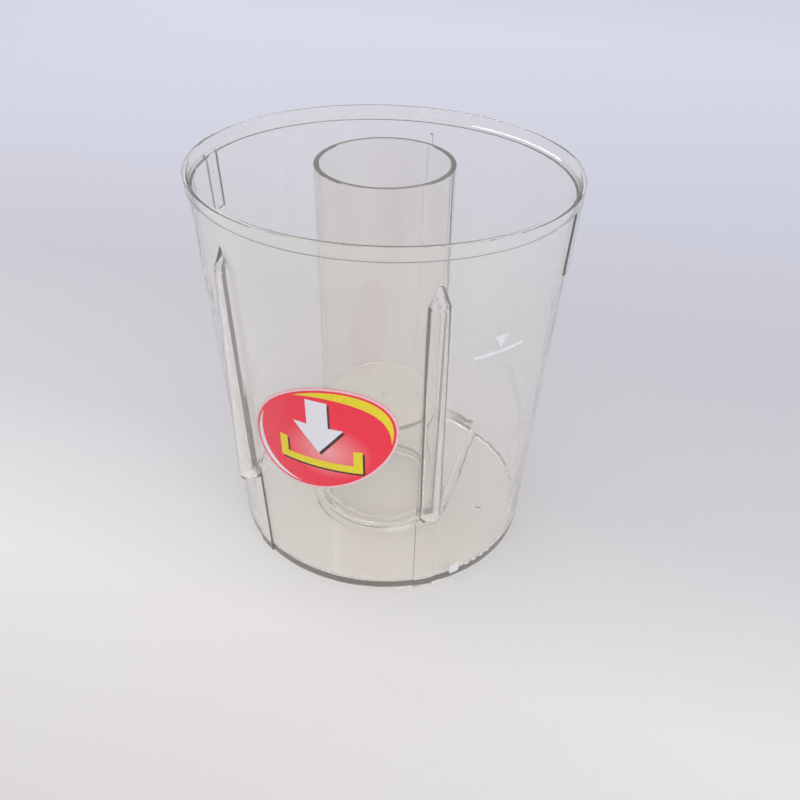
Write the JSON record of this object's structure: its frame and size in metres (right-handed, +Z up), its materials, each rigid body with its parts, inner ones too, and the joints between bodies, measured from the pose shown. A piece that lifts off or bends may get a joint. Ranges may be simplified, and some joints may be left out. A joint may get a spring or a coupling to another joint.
{
  "type": "vacuum cleaner dirt container",
  "caption": "Clear tapered oval dust cup for a bagless upright vacuum cleaner, with a full-height centre tube, stepped rim collar, guide rails and a front label.",
  "frame": {"origin": "middle of the base, at the level of the surface that the cup stands on", "axes": "+Z up along the tube, +X to the right when looking at the label, -Y is the front with the label"},
  "size_m": [0.1916, 0.178, 0.21],
  "materials": {
    "clear_plastic": "clear polished styrene plastic with a faint warm smoky tint",
    "tube_plastic": "clear polished plastic, slightly browner than the cup",
    "label": "glossy printed vinyl film",
    "white_ink": "thin pad-printed white ink"
  },
  "bodies": {
    "root": {"container_shell": "clear_plastic", "center_tube": "tube_plastic", "tube_web": "tube_plastic", "label_film": "label", "fill_line_print": "white_ink", "base_mark_print": "white_ink"}
  },
  "joints": []
}
